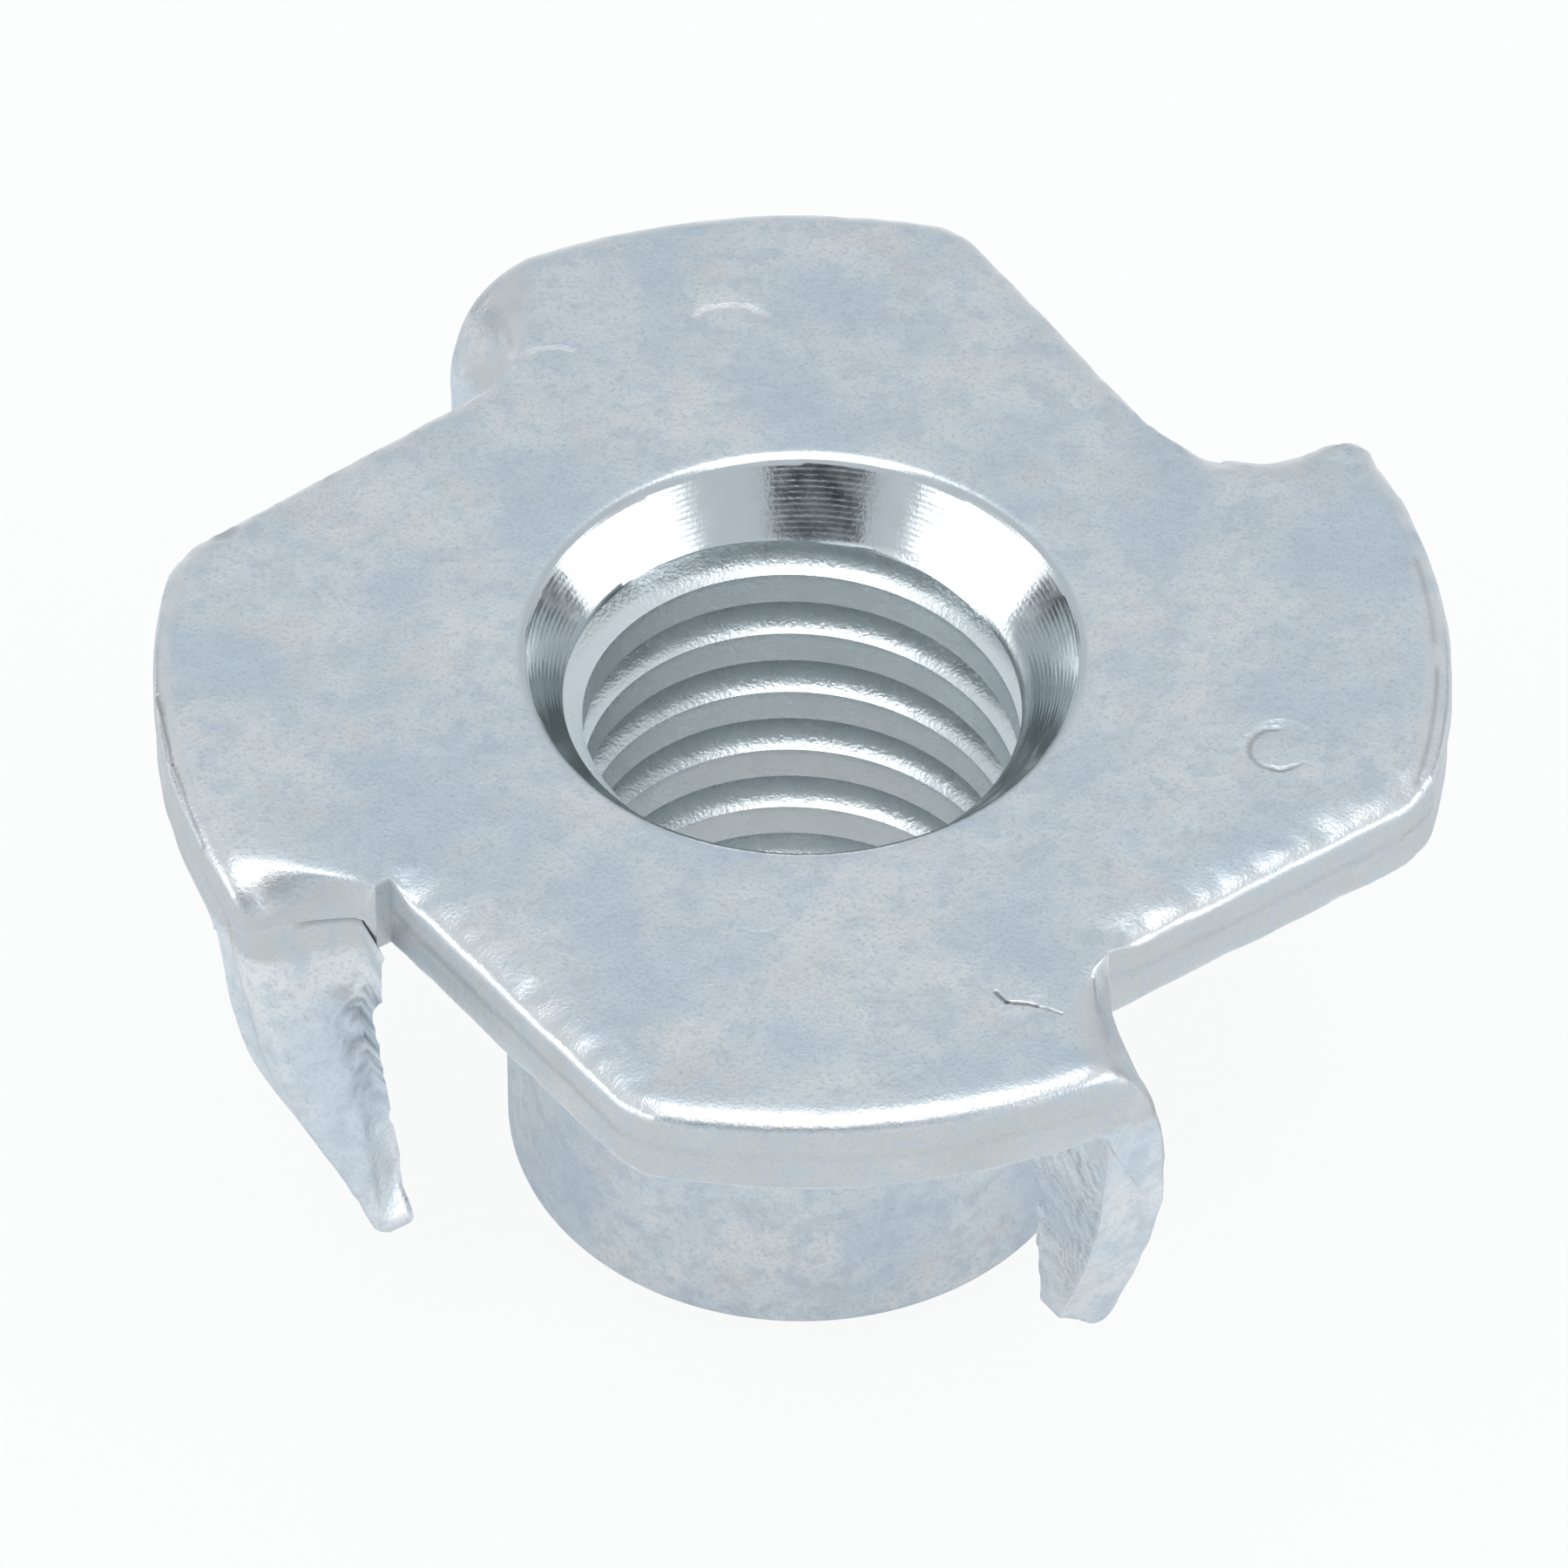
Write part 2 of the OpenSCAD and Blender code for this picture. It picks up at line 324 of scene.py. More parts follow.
def prong(arm):
    """The outer and inner faces of one prong, in its own quarter before that is
    turned.  Rows go over the fold and down; columns go out to the rim."""
    rx, ry = arm["root"]
    tip_z, tip_under = arm["tip"]
    back = arm["crack"]
    length = TOP - tip_z
    end_width = through(arm["out"], tip_z) - through(arm["torn"], tip_z)
    round_r = 0.48 * end_width

    def rounded(z, end):
        """How far the corner of the blunt point is in from its straight side."""
        return round_r - np.sqrt(np.maximum(round_r**2 - np.maximum(round_r - (z - end), 0) ** 2, 0))

    def side_in(z, end):
        return through(arm["torn"], z * tip_z / end) + rounded(z, end)

    def side_out(y, z, end):
        rim = np.sqrt(np.maximum(FLANGE_R**2 - y**2, 0))
        return soft_least(rim, through(arm["out"], z * tip_z / end), 0.2) - rounded(z, end)

    def behind(share, depth):
        """How far the face is behind the root's plane, at depths under the top."""
        foot = arm["down"] * share ** arm["widening"][1]
        middle = eased(share, 0.0, 0.12) * (1 - eased(share, 0.55, 0.85))
        start = arm["stand"] * share**0.6 + back * middle
        return start - (arm["cant"] + start) * np.clip(depth - foot, 0, None) / (length - foot)

    # shares of the way out to the rim; the last ones are the roll's own
    last = np.ones(len(ROLL))
    even = np.linspace(0, 1, TAB_COLUMNS + 1)[:-1]
    share = np.concatenate([even, last])
    u = np.concatenate([np.zeros(TAB_COLUMNS), 1 - ROLL[::-1] / ROLL_W])
    even_out = np.linspace(0, 1, TAB_COLUMNS + len(ROLL))
    over = arm["over"] * share ** arm["widening"][0]
    down = arm["down"] * share ** arm["widening"][1]
    crack_shade = eased(share, 0.0, 0.12) * (1 - eased(share, 0.55, 0.85)) if back else 0 * share
    foot = arm["stand"] * share**0.6

    rows = []
    for k in range(FOLD_ROWS + 1):
        t = math.pi / 2 * k / FOLD_ROWS + 0 * share
        rows.append((foot + (over - foot) * (1 - np.sin(t)), down * (1 - np.cos(t)), t))
    n, h, t = rows[-1]
    lip = np.maximum(h + 0.03, TOP * (1 - eased(share, 0, 0.2)))
    for w in WALL[1:]:
        rows.append((n, h + (lip - h) * w, t))
    for deeper, part in ((0.02, 0.7), (0.07, 1.0)):
        rows.append((n + (behind(share, lip + deeper) - n) * part, lip + deeper, t))
    z_top = TOP - rows[-1][1]
    f = np.concatenate([np.linspace(0, 0.93, 46)[1:], [0.95, 0.965, 0.978, 0.988, 0.996, 1.0]])
    for part in f:
        z = z_top + (tip_z - z_top) * part
        rows.append((behind(share, TOP - z), TOP - z, t))

    outer = []
    for n, h, t in rows:
        y, z = ry - n, TOP - h
        x0 = np.where(h <= TOP + 0.12, rx, side_in(z, tip_z))
        x1 = side_out(y, z, tip_z)
        width = np.minimum(through(arm["ridge"], z), 0.3 * (x1 - x0))
        x = np.where(u > 0, x1 - (1 - u) * width, x0 + share * (x1 - width - x0))
        top_roll = rolled(ROLL_W * (1 - u))
        side_roll = arm["edge"] * width * (0.45 * u + 0.55 * (1 - np.sqrt(1 - u * u)))
        depth = top_roll + (side_roll - top_roll) * eased(h, 0.6, 2.4)
        flat_w, flat_d = arm["bevel"]
        beside = np.clip(1 - (x - x0) / flat_w, 0, 1) * eased(h, 2.6, 3.4)
        depth = depth + flat_d * beside * (1 - eased(-z, -tip_z - 1.2, -tip_z - 0.2))
        outer.append(np.column_stack([x, y - depth * np.sin(t), z - depth * np.cos(t)]))
    outer = np.array(outer)

    # inner face: the fold's tight inside, then down beside the outer one
    inner = []
    for k in range(FOLD_ROWS + 1):
        a = math.pi / 2 * k / FOLD_ROWS
        z = -FOLD_IN * (1 - math.cos(a))
        y = ry - behind(even_out, TOP - z) - TOP - FOLD_IN * (1 - math.sin(a))
        x = rx + (np.sqrt(FLANGE_R**2 - y * y) - rx) * even_out
        inner.append(np.column_stack([x, y, np.full(len(x), z)]))
    side = np.minimum.accumulate(outer[FOLD_ROWS:, -1, 2] - 0.002 * np.arange(len(rows) - FOLD_ROWS))
    for z in side[1:]:
        z = -FOLD_IN + (tip_under + FOLD_IN) * (z - side[0]) / (side[-1] - side[0])
        thick = TOP - (TOP - arm["thin"]) * eased(-z, 2.0, -tip_under)
        y = ry - behind(even_out, TOP - z) - thick
        x0, x1 = side_in(z, tip_under), side_out(y, z, tip_under)
        inner.append(np.column_stack([x0 + (x1 - x0) * even_out, y, np.full(len(share), z)]))
    inner = np.array(inner)

    # the point is rounded through its thickness too
    near = np.maximum(0.4 - (outer[..., 2] - tip_z), 0) / 0.4
    outer[..., 1] -= 0.3 * arm["thin"] * near**2
    near = np.maximum(0.4 - (inner[..., 2] - tip_under), 0) / 0.4
    inner[..., 1] += 0.3 * arm["thin"] * near**2
    grime = np.zeros(outer.shape[:2])
    slit = FOLD_ROWS + len(WALL) - 1
    # painted shadow in the crack, where the face stands back below the middle of the fold
    for row, strength in ((-1, 0.2), (0, 0.8), (1, 1.0), (2, 0.5)):
        grime[slit + row] = strength * crack_shade
    # painted shade along the fold
    dusk = np.sin(np.linspace(0, math.pi, FOLD_ROWS + 1))[:, None] * eased(share, 0.1, 0.4)
    grime[: FOLD_ROWS + 1] += arm["dusk"] * dusk
    # a darker, uneven band beside the torn edge, down the upper part of the prong
    flat_w, flat_d = arm["bevel"]
    beside = np.clip(1.3 - (outer[..., 0] - through(arm["torn"], outer[..., 2])) / flat_w, 0, 1)
    uneven = rough(outer.reshape(-1, 3), 0.3, 81).reshape(grime.shape)
    upper = eased(TOP - outer[..., 2], 2.0, 2.8) * (1 - eased(TOP - outer[..., 2], 4.6, 6.0))
    grime += 1.2 * flat_d * beside * upper * np.clip(0.3 + uneven, 0, 1)
    return outer, inner, grime


def rolled(inset):
    """Depth of the press roll at a distance in from a sheared edge."""
    x = np.clip(1 - np.asarray(inset, float) / ROLL_W, 0, 1)
    return ROLL_H * (0.35 * x**2 + 0.65 * (1 - np.sqrt(1 - x**2)))


def wall_between(upper, lower, outward):
    """The sheared thickness between two edges: burnished above, torn below."""
    rows = np.array([mixed(u, l, WALL) for u, l in zip(upper, lower)])
    profile = np.interp(WALL, [0, 0.05, 0.44, 0.5, 0.9, 1], [0, 0.02, 0.02, -0.02, -0.03, 0])
    return rows + np.asarray(outward)[:, None, :] * profile[None, :, None]


# ---- the skin ----


def build_skin():
    skin = Skin()
    quarters = []
    for i, arm in enumerate(ARMS):
        outer, inner, grime = prong(arm)
        quarters.append(dict(outer=turned(outer, 90 * i), inner=turned(inner, 90 * i), grime=grime))

    top_loop, under_loop = [], []
    for i, (arm, q) in enumerate(zip(ARMS, quarters)):
        after = quarters[(i + 1) % 4]
        outer, inner = q["outer"], q["inner"]
        skin.grid(outer, q["grime"])
        skin.grid(inner)

        # outer edge and point of the prong
        across = turned([1.0, 0, 0], 90 * i)
        edge = wall_between(outer[:, -1], inner[:, -1], np.tile(across, (len(outer), 1)))
        skin.grid(edge)
        point = np.array([mixed(u, l, WALL) for u, l in zip(outer[-1], inner[-1])])
        point[-1] = edge[-1]
        skin.grid(point)

        # torn inner edge, up to the underside of the flange
        first = FOLD_ROWS + len(WALL) - 1
        seam = mixed(inner[0, 0], outer[first, 0], np.linspace(0, 1, 12))
        loop = np.concatenate([outer[first:, 0], point[0, 1:-1], inner[::-1, 0], seam[1:-1]])
        flat = turned(loop, -90 * i)
        side = flat[:, 1:]
        points, faces = filled([side], 0.16, 11 + i)
        face = np.concatenate([flat[:, 0], np.zeros(len(points) - len(flat))])
        for k in range(len(flat), len(points)):
            d = ((side - points[k]) ** 2).sum(1)
            w = 1 / (d + 1e-6) ** 1.5
            face[k] = (w * flat[:, 0]).sum() / w.sum()
        skin.add(turned(np.column_stack([face, points]), 90 * i), faces)

        # straight sheared edge, from the notch to the arm's corner
        turn_to = 90 * i
        a = math.radians(arm["lean"])
        along = turned([-math.sin(a), math.cos(a), 0], turn_to)
        inward = turned([-math.cos(a), -math.sin(a), 0], turn_to)
        root = outer[0, 0]
        start = root + turned([-arm["gap"], 0, 0], turn_to)
        prong_column = outer[FOLD_ROWS: FOLD_ROWS + len(WALL), 0]
        start_column = prong_column + turned([-arm["gap"], 0, 0], turn_to)

        def corner_at(inset):
            """Where the straight edge and the rim meet, a way in from both."""
            p = start[:2] + inward[:2] * inset
            b = p @ along[:2]
            r = FLANGE_R - inset
            return p + along[:2] * (-b + math.sqrt(b * b - p @ p + r * r))

        n_along = 46
        s = np.linspace(0, 1, n_along)
        strip = []
        for inset in ROLL:
            ends = np.array([start[:2] + inward[:2] * inset, corner_at(inset)])
            depth = rolled(inset) * eased(s, 0, 0.12)
            strip.append(np.column_stack([mixed(ends[0], ends[1], s), TOP - depth]))
        strip = np.array(strip)
        skin.grid(strip)
        corner = strip[0, -1]
        under = mixed(start_column[-1], [corner[0], corner[1], 0], s)
        chord = wall_between(strip[0], under, np.tile(-inward, (n_along, 1)))
        chord[0] = start_column
        skin.grid(chord)
        across_step = np.linspace(0, 1, 4)
        step = np.array([mixed(a, b, across_step) for a, b in zip(prong_column, start_column)])
        skin.grid(step)

        # round rim, from the arm's corner to the next prong's fold
        last = after["outer"][0, ::-1][: len(ROLL)]
        n_rim = 54
        s_rim = np.linspace(0, 1, n_rim)
        rim = []
        for k, inset in enumerate(ROLL):
            a0 = math.atan2(*corner_at(inset)[::-1])
            a1 = math.atan2(last[k][1], last[k][0])
            a1 += 2 * math.pi * (a1 < a0)
            angle = a0 + (a1 - a0) * s_rim
            r = FLANGE_R - inset
            level = np.full(n_rim, TOP - rolled(inset))
            row = np.column_stack([r * np.cos(angle), r * np.sin(angle), level])
            row[-1] = last[k]
            rim.append(row)
        rim = np.array(rim)
        skin.grid(rim)
        foot = after["inner"][0, -1]
        a1 = math.atan2(foot[1], foot[0])
        a0 = math.atan2(corner[1], corner[0])
        a1 += 2 * math.pi * (a1 < a0)
        angle = a0 + (a1 - a0) * s_rim
        flat_row = np.zeros(n_rim)
        under_rim = np.column_stack([FLANGE_R * np.cos(angle), FLANGE_R * np.sin(angle), flat_row])
        under_rim[0] = under[-1]
        under_rim[-1] = foot
        outward = np.column_stack([np.cos(angle), np.sin(angle), np.zeros(n_rim)])
        rim_wall = wall_between(rim[0], under_rim, outward)
        rim_wall[0] = chord[-1]
        rim_wall[-1] = wall_between(
            after["outer"][:1, -1], after["inner"][:1, -1], [turned([1.0, 0, 0], 90 * (i + 1))]
        )[0]
        skin.grid(rim_wall)

        # outlines of the flat top and of the underside
        tab_edge = outer[0, : TAB_COLUMNS + 1][::-1]
        top_loop += [tab_edge, step[0, 1:], strip[1:, 0], strip[-1, 1:], rim[-1, 1:-1]]
        under_loop += [inner[0, ::-1], seam[1:], step[-1, 1:], under[1:], under_rim[1:-1]]

    angles = np.linspace(0, 2 * math.pi, COLUMNS + 1)[:-1]

    def ring(r, z):
        return np.column_stack([r * np.cos(angles), r * np.sin(angles), np.full(COLUMNS, z)])

    def closed(rings):
        rows = np.array([ring(r, z) for r, z in rings])
        skin.grid(np.concatenate([rows, rows[:, :1]], 1))

    def flat_between(outline, hole, spacing, seed):
        """A level face between an outline and a round hole."""
        points, faces = filled([outline[:, :2], hole[:, :2]], spacing, seed)
        level = np.full(len(points), hole[0, 2])
        level[: len(outline)] = outline[:, 2]
        skin.add(np.column_stack([points, level]), faces)

    # flat top, between the rolled edges and the lip of the countersink
    slope = (SINK_R - CREST_R) / SINK_H
    lip = [
        (SINK_R + 0.2, TOP),
        (SINK_R + 0.1, TOP - 0.008),
        (SINK_R + 0.02, TOP - 0.035),
        (SINK_R - 0.03, TOP - 0.07),
        (SINK_R - LIP * slope, TOP - LIP),
    ]
    top = np.concatenate(top_loop)
    flat_between(top, ring(*lip[0]), 0.22, 1)
    closed(lip)

    # underside, barrel and the barrel's end
    flat_between(np.concatenate(under_loop), ring(BARREL_R + DRAW_R, 0), 0.5, 2)
    t = np.linspace(0, math.pi / 2, 9)
    draw = [(BARREL_R + DRAW_R * (1 - math.sin(a)), -DRAW_R * (1 - math.cos(a))) for a in t]
    wall = [(BARREL_R, z) for z in np.linspace(-DRAW_R, BARREL_END + END_R, 14)[1:]]
    end = [(BARREL_R - END_R * (1 - math.cos(a)), BARREL_END + END_R * (1 - math.sin(a))) for a in t[1:]]
    mouth = [(r, BARREL_END) for r in np.linspace(BARREL_R - END_R, CREST_R + MOUTH_C, 4)[1:]]
    closed(draw + wall + end + mouth)
    return skin


# ---- node trees ----


class Socket:
    """Wraps a node's output, so that plain arithmetic on it adds Math nodes."""

    def __init__(self, tree, out):
        self.tree, self.out = tree, out

    def maths(self, operation, *others, clamp=False):
        values = {k: v for k, v in enumerate((self,) + others)}
        return self.tree.node("ShaderNodeMath", dict(operation=operation, use_clamp=clamp), values)

    def __add__(self, other):
        return self.maths("ADD", other)

    def __sub__(self, other):
        return self.maths("SUBTRACT", other)

    def __mul__(self, other):
        return self.maths("MULTIPLY", other)

    def __truediv__(self, other):
        return self.maths("DIVIDE", other)

    def __rsub__(self, other):
        return (self * -1.0) + other

    def __pow__(self, other):
        return self.maths("POWER", other)

    __radd__ = __add__
    __rmul__ = __mul__


class Tree:
    """A node tree under construction."""

    def __init__(self, tree):
        self.tree = tree

    def node(self, kind, settings=None, values=None, out=0):
        """Adds a node: its settings come first, then its sockets."""
        made = self.tree.nodes.new(kind)
        for name, value in (settings or {}).items():
            setattr(made, name, value)
        for key, value in (values or {}).items():
            socket = made.inputs[key]
            if isinstance(value, Socket):
                self.tree.links.new(value.out, socket)
            elif hasattr(socket.default_value, "__len__") and len(socket.default_value) == 4:
                socket.default_value = (*value, 1)[:4]
            else:
                socket.default_value = value
        return Socket(self, made.outputs[out])


# ---- the thread ----


def thread_tree():
    """Geometry nodes for the tapped bore with its countersink: a sheet of points
    wound with the thread, so that its rows follow crest and groove."""
    group = bpy.data.node_groups.new("tapped bore", "GeometryNodeTree")
    sizes = dict(
        pitch=PITCH * MM, crest_radius=CREST_R * MM, groove_radius=MAJOR_R * MM,
        top=(TOP - LIP) * MM, bottom=BARREL_END * MM, sink_radius=SINK_R * MM,
        sink_slope=(SINK_R - CREST_R) / SINK_H, flange_top=TOP * MM, mouth=MOUTH_C * MM,
        start=0.12,
    )
    face = group.interface
    for name in sizes:
        face.new_socket(name, in_out="INPUT", socket_type="NodeSocketFloat")
    face.new_socket("rows_a_pitch", in_out="INPUT", socket_type="NodeSocketInt")
    face.new_socket("columns", in_out="INPUT", socket_type="NodeSocketInt")
    face.new_socket("finish", in_out="INPUT", socket_type="NodeSocketMaterial")
    face.new_socket("Geometry", in_out="OUTPUT", socket_type="NodeSocketGeometry")
    tree = Tree(group)
    given = group.nodes.new("NodeGroupInput")
    g = {s.name: Socket(tree, s) for s in given.outputs if s.name}
    rows = ((g["top"] - g["bottom"]) / g["pitch"] + 1.0) * g["rows_a_pitch"]
    rows = rows.maths("CEIL")
    down = rows + 1.0
    around = g["columns"] + 1.0
    sheet = tree.node("GeometryNodeMeshGrid", None, {"Vertices X": around, "Vertices Y": down})
    index = tree.node("GeometryNodeInputIndex")
    column = (index / down).maths("FLOOR")
    row = index - column * down
    turn = column / g["columns"]
    wound = row / g["rows_a_pitch"]
    z = g["top"] - (wound - turn) * g["pitch"]
    z = z.maths("MINIMUM", g["top"]).maths("MAXIMUM", g["bottom"])
    phase = (wound + g["start"]).maths("FRACT")
    away = (phase - 0.5).maths("ABSOLUTE")
    flank = ((away - 0.075) / 0.2).maths("MAXIMUM", 0.0).maths("MINIMUM", 1.0)
    soft = flank * flank * (3.0 - flank * 2.0)
    groove = 1.0 - (flank * 0.55 + soft * 0.45)
    r = g["crest_radius"] + (g["groove_radius"] - g["crest_radius"]) * groove
    sink = g["sink_radius"] - (g["flange_top"] - z) * g["sink_slope"]
    mouth = g["crest_radius"] + g["mouth"] - (z - g["bottom"])
    r = r.maths("SMOOTH_MAX", sink, 0.00006).maths("SMOOTH_MAX", mouth, 0.00003)
    on_top = z.maths("COMPARE", g["top"], 0.0000005)
    on_end = z.maths("COMPARE", g["bottom"], 0.0000005)
    r = r + (g["sink_radius"] - (g["flange_top"] - g["top"]) * g["sink_slope"] - r) * on_top
    r = r + (g["crest_radius"] + g["mouth"] - r) * on_end
    angle = turn * (2 * math.pi)
    place = tree.node(
        "ShaderNodeCombineXYZ", None, {0: r * angle.maths("COSINE"), 1: r * angle.maths("SINE"), 2: z}
    )
    moved = tree.node("GeometryNodeSetPosition", None, {"Geometry": sheet, "Position": place})
    merged = tree.node("GeometryNodeMergeByDistance", None, {"Geometry": moved, "Distance": 0.0000005})
    real = tree.node("GeometryNodeRealizeInstances", None, {"Geometry": merged})
    done = tree.node("GeometryNodeSetMaterial", None, {"Geometry": real, "Material": g["finish"]})
    out = group.nodes.new("NodeGroupOutput")
    group.links.new(done.out, out.inputs["Geometry"])
    return group, sizes


def tapped_bore(finish):
    """The bore's mesh, as points and faces in metres."""
    group, sizes = thread_tree()
    holder = bpy.data.objects.new("bore", bpy.data.meshes.new("bore"))
    bpy.context.scene.collection.objects.link(holder)
    modifier = holder.modifiers.new("thread", "NODES")
    modifier.node_group = group
    inputs = {s.name: s.identifier for s in group.interface.items_tree if s.in_out == "INPUT"}
    for name, value in sizes.items():
        modifier[inputs[name]] = float(value)
    modifier[inputs["rows_a_pitch"]] = 20
    modifier[inputs["columns"]] = COLUMNS
    modifier[inputs["finish"]] = finish
    depsgraph = bpy.context.evaluated_depsgraph_get()
    mesh = bpy.data.meshes.new_from_object(holder.evaluated_get(depsgraph))
    points = np.empty(len(mesh.vertices) * 3)
    mesh.vertices.foreach_get("co", points)
    faces = [list(p.vertices) for p in mesh.polygons]
    bpy.data.objects.remove(holder)
    bpy.data.meshes.remove(mesh)
    bpy.data.node_groups.remove(group)
    return points.reshape(-1, 3), faces


# ---- finishes ----


def clipped(value):
    """A shader's value kept between 0 and 1."""
    return value.maths("ADD", 0.0, clamp=True)


def marks_on(x, y, z):
    """Masks of the marks struck into the top, for the finish: their depth, their painted highlight and
    their painted shade.
    """
    above = clipped((z - (TOP - 0.5)) * 5.0)
    scored, bright, dark = 0.0, 0.0, 0.0
    for kind, where, width, depth, shine in MARKS:
        if kind == "ring":
            cx, cy, radius, facing, part = where
            dx, dy = x - cx, y - cy
            far = (dx * dx + dy * dy) ** 0.5
            off = (far - radius).maths("ABSOLUTE")
            way = math.radians(facing)
            sharp = 5 / (1 - math.cos(math.radians(part)))
            ahead = (dx * math.cos(way) + dy * math.sin(way)) / (far + 0.001)
            mask = clipped(1.0 - off / width) * clipped((ahead - math.cos(math.radians(part))) * sharp)
        elif kind == "line":
            x0, y0, x1, y1 = where
            long = math.hypot(x1 - x0, y1 - y0)
            ux, uy = (x1 - x0) / long, (y1 - y0) / long
            along = ((x - x0) * ux + (y - y0) * uy).maths("MAXIMUM", 0.0).maths("MINIMUM", long)
            dx, dy = x - x0 - along * ux, y - y0 - along * uy
            mask = clipped(1.0 - ((dx * dx + dy * dy) ** 0.5) / width)
        else:
            cx, cy, radius = where
            dx, dy = x - cx, y - cy
            mask = clipped((1.0 - ((dx * dx + dy * dy) ** 0.5) / radius) * width)
        mask = mask * above
        if depth:
            scored = mask * depth + scored
        if shine > 0:
            bright = mask * shine + bright
        else:
            dark = mask * -shine + dark
    return scored, bright, dark


def zinc_plate():
    made = bpy.data.materials.new("zinc plate")
    made.use_nodes = True
    tree = Tree(made.node_tree)
    shader = made.node_tree.nodes["Principled BSDF"]
    place = tree.node("ShaderNodeTexCoord", None, None, "Object")
    facing = tree.node(
        "ShaderNodeMapping", None,
        {"Vector": place, "Rotation": (0, 0, -math.radians(CAMERA_TURN)), "Scale": (1000, 1000, 1000)},
    )
    x, y, z = (tree.node("ShaderNodeSeparateXYZ", None, {0: facing}, axis) for axis in "XYZ")
    radius = (x * x + y * y) ** 0.5

    def noise(size, detail=3.0, rough=0.55, stretch=None):
        vector = facing
        if stretch:
            vector = tree.node("ShaderNodeMapping", None, {"Vector": facing, "Scale": stretch})
        return tree.node(
            "ShaderNodeTexNoise", None,
            {"Vector": vector, "Scale": 1 / size, "Detail": detail, "Roughness": rough},
        )

    def ramp(value, start, end):
        ends = {"Value": value, "From Min": start, "From Max": end}
        return tree.node("ShaderNodeMapRange", dict(clamp=True), ends)

    def blend(share, one, other):
        mixed_colour = tree.node("ShaderNodeMix", dict(data_type="RGBA"), {"Factor": share}, 2)
        for key, colour in ((6, one), (7, other)):
            socket = mixed_colour.out.node.inputs[key]
            if isinstance(colour, Socket):
                tree.tree.links.new(colour.out, socket)
            else:
                socket.default_value = (*colour, 1)
        return mixed_colour

    cloud = noise(2.4, 3.0)
    mottle = noise(0.5, 2.0, 0.6)
    grain = noise(0.075, 2.0, 0.6)
    patches = noise(1.3, 2.0, 0.5)
    in_bore = ramp(SINK_R + 0.1 - radius, 0.0, 0.08)
    on_cone = in_bore * ramp(z, TOP - SINK_H + 0.1, TOP - SINK_H + 0.25)
    scored, bright, dark = marks_on(x, y, z)

    worn = tree.node("ShaderNodeAttribute", dict(attribute_name="worn"), None, "Fac")
    grime = tree.node("ShaderNodeAttribute", dict(attribute_name="grime"), None, "Fac")
    sheared = tree.node("ShaderNodeAttribute", dict(attribute_name="sheared"), None, "Fac")

    colour = blend(ramp(cloud, 0.38, 0.62), BLUE_ZINC, PALE_ZINC)
    colour = blend(sheared * (ramp(cloud, 0.3, 0.6) * 0.4 + 0.5), colour, TORN_STEEL)
    colour = blend(ramp(mottle, 0.46, 0.66) * 0.6, colour, DULL_ZINC)
    colour = blend(ramp(patches, 0.56, 0.75) * 0.45, colour, WARM_ZINC)
    colour = blend(ramp(grain, 0.50, 0.72) * 0.55, colour, PITS)
    # painted light: the bore made pale to lift its shade
    colour = blend(in_bore, colour, TAPPED_AND_LIT)
    colour = blend(on_cone, colour, COUNTERSUNK)
    # rubbed crests, partly a painted highlight on their slopes, and the painted highlights of the marks
    colour = blend(clipped(worn + bright) * 0.85, colour, RUBBED_AND_SHEEN)
    # painted shade in the crack and along the folds and the marks' grooves, and the darker band beside
    # the torn edges
    colour = blend(clipped(grime + dark) * 0.9, colour, PAINTED_DARK)
    made.node_tree.links.new(colour.out, shader.inputs["Base Color"])

    coarse = ramp(mottle, 0.3, 0.7) * 0.10 + 0.33
    roughness = coarse - in_bore * 0.10 - on_cone * 0.10 - clipped(worn + bright) * 0.08
    roughness = (roughness + (grime + dark) * 0.3).maths("MINIMUM", 0.9)
    made.node_tree.links.new(roughness.out, shader.inputs["Roughness"])
    shader.inputs["Metallic"].default_value = 1.0

    turned_lines = ((radius * 90.0).maths("SINE") * 0.5 + (radius * 31.0).maths("SINE") * 0.4) * on_cone
    height = (grain * 1.6 + mottle * 1.6) * (1.0 - on_cone * 0.8) + turned_lines * 0.15 + scored * 60.0
    bump = tree.node("ShaderNodeBump", None, {"Height": height, "Strength": 0.55, "Distance": 0.000012})
    made.node_tree.links.new(bump.out, shader.inputs["Normal"])
    return made


# ---- wear ----


def mark_depth(front):
    """How deep the marks go at points seen from the front."""
    x, y = front[:, 0], front[:, 1]
    depth = np.zeros(len(front))
    for kind, where, width, deep, _ in MARKS:
        if kind == "ring":
            cx, cy, radius, facing, part = where
            far = np.hypot(x - cx, y - cy)
            way = math.radians(facing)
            ahead = ((x - cx) * math.cos(way) + (y - cy) * math.sin(way)) / (far + 1e-6)
            mask = eased(-np.abs(far - radius), -width, 0) * (ahead > math.cos(math.radians(part)))
        elif kind == "line":
            a, b = np.array(where[:2]), np.array(where[2:])
            t = np.clip((front[:, :2] - a) @ (b - a) / ((b - a) @ (b - a)), 0, 1)
            mask = eased(-np.hypot(*(front[:, :2] - a - t[:, None] * (b - a)).T), -width, 0)
        else:
            mask = 0
        depth += mask * deep
    return depth * (front[:, 2] > TOP - 0.4)


def facets(points, size, seed):
    """Height of a surface broken into tilted flats of about that size."""
    rng = np.random.default_rng(seed)
    low, high = points.min(0), points.max(0)
    count = int(np.prod(np.maximum((high - low) / size, 1)) * 1.2) + 4
    seeds = rng.uniform(low, high, (count, points.shape[1]))
    tilt = rng.normal(size=seeds.shape) * 0.5
    base = rng.uniform(-0.5, 0.5, count)
    nearest = np.array([np.argmin(((seeds - p) ** 2).sum(1)) for p in points])
    return base[nearest] * 0.6 + ((points - seeds[nearest]) * tilt[nearest]).sum(1) / size


